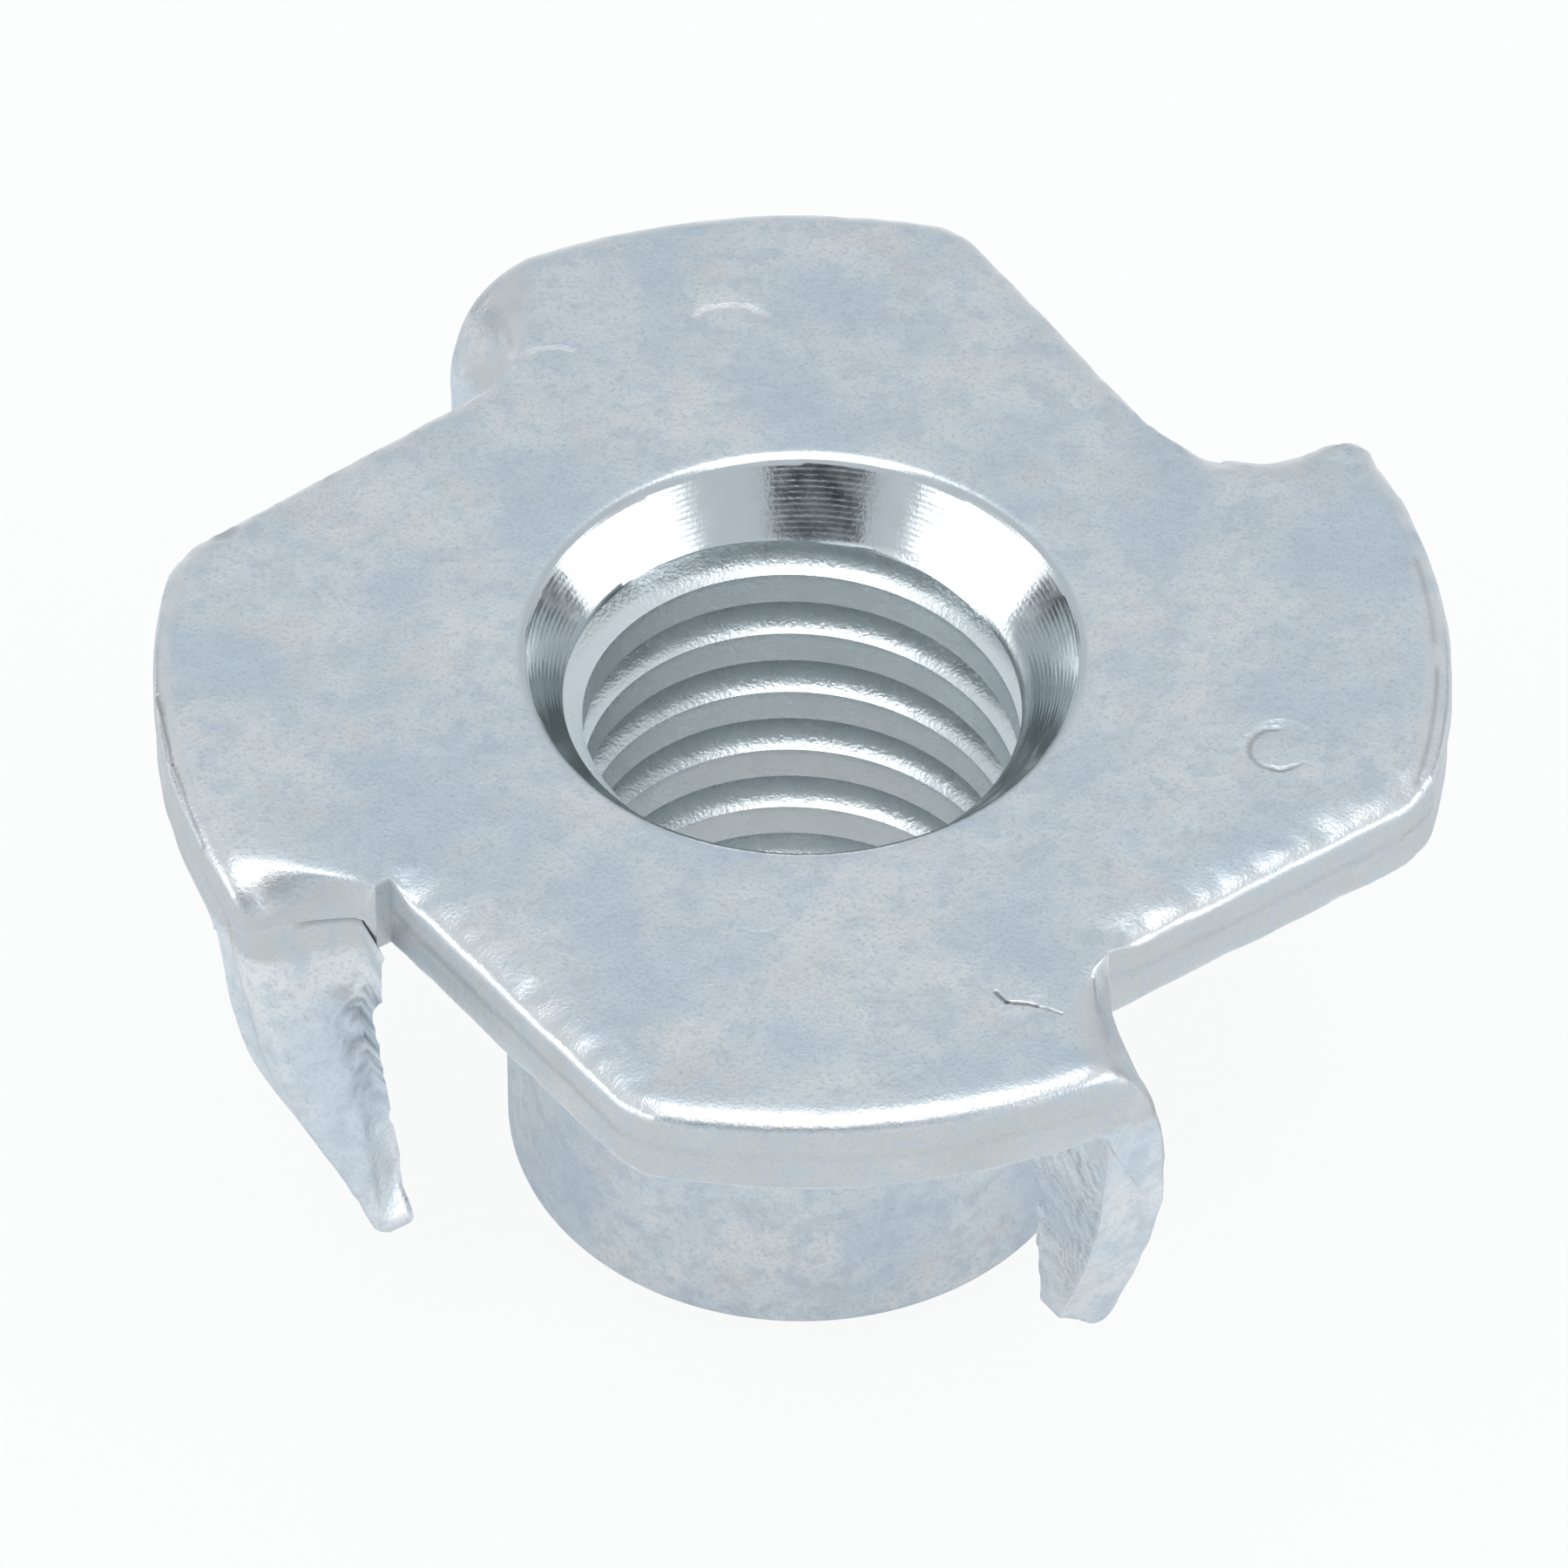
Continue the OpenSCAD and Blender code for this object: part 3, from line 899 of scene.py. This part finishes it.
def torn_edges(points):
    """Torn metal along the inner edges of the prongs."""
    move = np.zeros(len(points))
    for i, arm in enumerate(ARMS):
        own = turned(points, -90 * i)
        x, y, z = own.T
        reach = x - through(arm["torn"], z)
        band = arm["bevel"][0]
        at = (np.abs(y - arm["root"][1] + 0.6) < 2.2) & (z < -0.3) & (reach < band) & (reach > -0.3)
        at &= z > arm["tip"][0] + 0.3
        if at.any():
            end = -arm["tip"][0]
            fade = eased(-z[at], 0.3, 1.2) * (1 - eased(-z[at], end - 2.2, end - 0.3))
            fade *= 1 - eased(reach[at], 0.4 * band, band)
            move[at] = facets(own[at][:, 1:], 0.6, 41 + i) * (0.05 + 0.07 * band) * fade
    return move


def near_equal(a, b, width):
    """How much a rounded meeting of two edges takes off where both are near."""
    return np.maximum(width - np.abs(a - b), 0) ** 2 / width / 4


def round_corners(points):
    """Rounds the arms' corners."""
    for i, arm in enumerate(ARMS):
        own = turned(points, -90 * i - arm["lean"])
        root = turned(np.array([arm["root"][0] - arm["gap"], arm["root"][1], 0]), -arm["lean"])
        radius = np.hypot(own[:, 0], own[:, 1])
        inside_chord = root[0] - own[:, 0]
        inside_rim = FLANGE_R - radius
        at = (own[:, 1] - root[1] > 4) & (points[:, 2] > -0.2) & (inside_chord < 2) & (inside_rim < 2)
        width = arm["corner"]
        deep = np.minimum(inside_chord, inside_rim)
        move = at * near_equal(inside_chord, inside_rim, width) * (1 - eased(deep, 0.05, 1.1))
        own[:, 0] -= move * (1 + own[:, 0] / radius) * 0.8
        own[:, 1] -= move * own[:, 1] / radius * 0.8
        points = turned(own, 90 * i + arm["lean"])
    return points


def smooth_out(work, some, passes):
    """Evens out some of the skin's points by moving each towards its neighbours."""
    for _ in range(passes):
        bmesh.ops.smooth_vert(
            work, verts=some, factor=0.5, use_axis_x=True, use_axis_y=True, use_axis_z=True
        )


def soften_folds(work):
    """Lets each fold leave the flat top gradually."""
    points = np.array([v.co for v in work.verts]) / MM
    for i, arm in enumerate(ARMS):
        own = turned(points, -90 * i)
        across = (own[:, 0] - arm["root"][0]) / (FLANGE_R - ROLL_W - arm["root"][0])
        start = arm["root"][1] - arm["over"] * np.clip(across, 0.001, 1) ** arm["widening"][0]
        reach = np.clip(across, 0.15, 1)
        near = (own[:, 1] > start - 0.8 * reach) & (own[:, 1] < start + 0.9 * reach)
        near &= (across > 0.1) & (own[:, 0] < 11.5) & (own[:, 2] > TOP - 0.6)
        some = [v for v, yes in zip(work.verts, near) if yes]
        smooth_out(work, some, 14)


def soften_spots(work):
    """Fills the notch at the back, and rounds it off with the corner beside it."""
    for x, y, low, reach, push, passes in SOFT_SPOTS:
        points = np.array([v.co for v in work.verts]) / MM
        front = turned(points, -CAMERA_TURN)
        far = np.hypot(front[:, 0] - x, front[:, 1] - y) / reach
        share = (1 - eased(far, 0, 1)) * eased(points[:, 2], low, low + 2)
        move = turned(np.column_stack([share * push[0], share * push[1], 0 * share]), CAMERA_TURN)
        some = []
        for v, p, m, f, s in zip(work.verts, points, move, far, share):
            v.co = Vector((p + m) * MM)
            if f < 1 and s > 0:
                some.append(v)
        smooth_out(work, some, passes)


def drawn_streaks(points, normals):
    """Curved streaks on the backs of the prongs, left as the sheet was bent."""
    move = np.zeros(len(points))
    for i, arm in enumerate(ARMS):
        x, y, z = turned(points, -90 * i).T
        behind = (y < arm["root"][1]) & (x > arm["torn"][0][1] - 0.2) & (z < -0.6)
        behind = behind * eased(-turned(normals, -90 * i)[:, 1], 0.7, 0.95)
        way = (z + 0.35 * (x - 9.6) ** 2) / 0.42 + 0.5 * rough(points, 1.5, 71 + i)
        fade = eased(-z, 0.6, 1.4) * (1 - eased(-z, 5.5, 7))
        move += behind * STREAK_D * np.sin(2 * math.pi * way) * fade
    return move


def scallops(points):
    """Ragged drag marks along the rolls of the straight sheared edges."""
    move = np.zeros(len(points))
    for i, arm in enumerate(ARMS):
        own = turned(points, -90 * i - arm["lean"])
        edge = turned(np.array([arm["root"][0] - arm["gap"], arm["root"][1], 0]), -arm["lean"])
        back = edge[0] - own[:, 0]
        along = own[:, 1] - edge[1]
        at = (back > -0.05) & (back < 0.62) & (along > 0.15) & (along < 7.6) & (points[:, 2] > 1.2)
        wave = np.abs(rough(own[:, 1:2] @ np.array([[1, 0, 0]]) + 3 * i, 0.8, 51 + i))
        fine = np.abs(rough(own, 0.35, 61 + i))
        across = np.sin(np.pi * np.clip(back / 0.62, 0, 1)) ** 0.7
        move -= at * across * (0.05 * np.clip(wave, 0, 1) + 0.025 * np.clip(fine, 0, 1))
    return move


def wear_in(work):
    """Dents, bumps and worn crests with their painted highlight, set into the skin's points."""
    work.verts.ensure_lookup_table()
    soften_folds(work)
    soften_spots(work)
    work.normal_update()
    points = np.array([v.co for v in work.verts]) / MM
    normals = np.array([v.normal for v in work.verts])
    front = turned(points, -CAMERA_TURN)
    radius = np.hypot(points[:, 0], points[:, 1])
    sheet = (radius > SINK_R + 0.3) & (points[:, 2] > -9)
    wavy = LONG_WAVE * rough(points, 1.6, 21) + SHORT_WAVE * rough(points, 0.6, 22)
    move = wavy * sheet + mark_depth(front)
    move += torn_edges(points)
    move += scallops(points)
    move += drawn_streaks(points, normals)
    # the rim lifted beside the fold at the back
    x, y, long, wide, lift = LIFTED_RIM
    bump = np.hypot((front[:, 0] - x) / long, (front[:, 1] - y) / wide)
    move += lift * (1 - eased(bump, 0, 1)) * (points[:, 2] > 0.9)
    points += normals * move[:, None]
    points = round_corners(points)
    for v, p in zip(work.verts, points):
        v.co = Vector(p * MM)
    work.normal_update()

    # crests of the rolls and folds are rubbed, and painted pale as a highlight on their slopes; torn
    # metal is dull
    worn = work.verts.layers.float.new("worn")
    tilt = np.array([v.normal.z for v in work.verts])
    outer_part = (radius > 9.2) & (points[:, 2] > 0.2)
    ragged = rough(points, 0.7, 31)
    crest = eased(tilt, 0.55, 0.8) * (1 - eased(tilt, 0.93, 0.995)) * outer_part
    crest = crest * np.clip(0.75 + 0.35 * ragged, 0, 1)
    sheared = work.verts.layers.float.new("sheared")
    wall = (1 - eased(np.abs(tilt), 0.2, 0.5)) * (radius > 8.8) * (points[:, 2] > -0.05)
    for v, c, w in zip(work.verts, crest, wall):
        v[worn] = float(c)
        v[sheared] = float(w)


# ---- assembly ----


def tee_nut():
    finish = zinc_plate()
    skin = build_skin()
    bore_points, bore_faces = tapped_bore(finish)
    skin.add(bore_points / MM, bore_faces)
    mesh = bpy.data.meshes.new("tee_nut_skin")
    mesh.from_pydata((np.concatenate(skin.points) * MM).tolist(), [], skin.faces)
    grime = mesh.attributes.new("grime", "FLOAT", "POINT")
    grime.data.foreach_set("value", np.concatenate(skin.grime))
    work = bmesh.new()
    work.from_mesh(mesh)
    bmesh.ops.remove_doubles(work, verts=work.verts, dist=0.000001)
    bmesh.ops.dissolve_degenerate(work, edges=work.edges, dist=0.0000002)
    bmesh.ops.recalc_face_normals(work, faces=work.faces)
    wear_in(work)
    work.to_mesh(mesh)
    work.free()
    mesh.materials.append(finish)
    mesh.shade_smooth()
    mesh.set_sharp_from_angle(angle=math.radians(38))
    nut = bpy.data.objects.new("tee_nut_skin", mesh)
    bpy.context.scene.collection.objects.link(nut)
    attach(nut, "root")
    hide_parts("tee_nut")
    return nut


def floor_plane(size=0.6):
    """A plain white floor under the barrel's end."""
    mesh = bpy.data.meshes.new("floor")
    z = BARREL_END * MM - 0.00001
    h = size / 2
    mesh.from_pydata([(-h, -h, z), (h, -h, z), (h, h, z), (-h, h, z)], [], [(0, 1, 2, 3)])
    made = bpy.data.materials.new("white paper")
    made.use_nodes = True
    tree = Tree(made.node_tree)
    shader = made.node_tree.nodes["Principled BSDF"]
    shader.inputs["Base Color"].default_value = PAPER
    shader.inputs["Roughness"].default_value = 0.9
    shader.inputs["Specular IOR Level"].default_value = 0.0
    path = tree.node("ShaderNodeLightPath")
    white = 0.0
    for kind, share in WHITE_SEEN:
        white = Socket(tree, path.out.node.outputs[kind]) * share + white
    glow = tree.node("ShaderNodeEmission", None, {"Color": (1, 1, 1), "Strength": 1.0})
    # the rest is lit, so that the part's shadow stays
    mix = tree.node("ShaderNodeMixShader", None, {0: white})
    tree.tree.links.new(shader.outputs[0], mix.out.node.inputs[1])
    tree.tree.links.new(glow.out, mix.out.node.inputs[2])
    tree.tree.links.new(mix.out, tree.tree.nodes["Material Output"].inputs["Surface"])
    mesh.materials.append(made)
    floor = bpy.data.objects.new("floor", mesh)
    bpy.context.scene.collection.objects.link(floor)


def lamp(name, place, size, power):
    """A softbox at place, seen from the front, turned towards the part."""
    place = turned(place, CAMERA_TURN)
    light = bpy.data.lights.new(name, "AREA")
    light.shape = "RECTANGLE"
    light.size, light.size_y = size
    light.energy = power
    made = bpy.data.objects.new(name, light)
    made.location = place
    made.rotation_mode = "QUATERNION"
    made.rotation_quaternion = (-Vector(place)).to_track_quat("-Z", "Y")
    bpy.context.scene.collection.objects.link(made)
    return made


def card(name, place, size):
    """A dark card at place, seen from the front, that faces the part."""
    w, h = size[0] / 2, size[1] / 2
    mesh = bpy.data.meshes.new(name)
    ahead = -Vector(place).normalized()
    side = ahead.cross(Vector((0, 0, 1))).normalized()
    up = side.cross(ahead)
    corners = [Vector(place) + side * a + up * b for a, b in ((-w, -h), (w, -h), (w, h), (-w, h))]
    mesh.from_pydata([turned(c, CAMERA_TURN).tolist() for c in corners], [], [(0, 1, 2, 3)])
    made = bpy.data.materials.new(name)
    made.use_nodes = True
    shader = made.node_tree.nodes["Principled BSDF"]
    shader.inputs["Base Color"].default_value = CARD
    shader.inputs["Roughness"].default_value = 0.9
    mesh.materials.append(made)
    made = bpy.data.objects.new(name, mesh)
    bpy.context.scene.collection.objects.link(made)


def camera():
    data = bpy.data.cameras.new("camera")
    data.sensor_width = 36
    data.lens = 36 * CAMERA_F / 1800
    data.clip_start, data.clip_end = 0.01, 5
    made = bpy.data.objects.new("camera", data)
    bpy.context.scene.collection.objects.link(made)
    th, roll = CAMERA_DIP, CAMERA_ROLL
    level = np.array([1.0, 0, 0])
    ahead = np.array([0, math.cos(th), -math.sin(th)])
    above = np.array([0, math.sin(th), math.cos(th)])
    right = math.cos(roll) * level + math.sin(roll) * above
    up = -math.sin(roll) * level + math.cos(roll) * above
    tx, ty, tz = CAMERA_SHIFT
    place = -tz * ahead - tx * right - ty * up + np.array([0, 0, TOP])
    right, up, ahead, place = (turned(v, CAMERA_TURN) for v in (right, up, ahead, place))
    m = Matrix([[*r] for r in np.column_stack([right, up, -ahead, place * MM])]).to_4x4()
    made.matrix_world = m
    bpy.context.scene.camera = made


tee_nut()
floor_plane()
camera()

world = bpy.data.worlds.new("studio")
bpy.context.scene.world = world
world.use_nodes = True
background = world.node_tree.nodes["Background"]
background.inputs["Color"].default_value = DAYLIGHT
background.inputs["Strength"].default_value = 1.0
for side in (-1, 1):
    x, y, z = SIDE_LAMP["place"]
    lamp("side softbox", (side * x, y, z), SIDE_LAMP["size"], SIDE_LAMP["power"])
lamp("overhead softbox", TOP_LAMP["place"], TOP_LAMP["size"], TOP_LAMP["power"])
card("dark card", *DARK_CARD)
for side in (-1, 1):
    (x, y, z), size = LOW_CARD
    card("low side card", (side * x, y, z), size)
bpy.context.scene.view_settings.view_transform = "Standard"
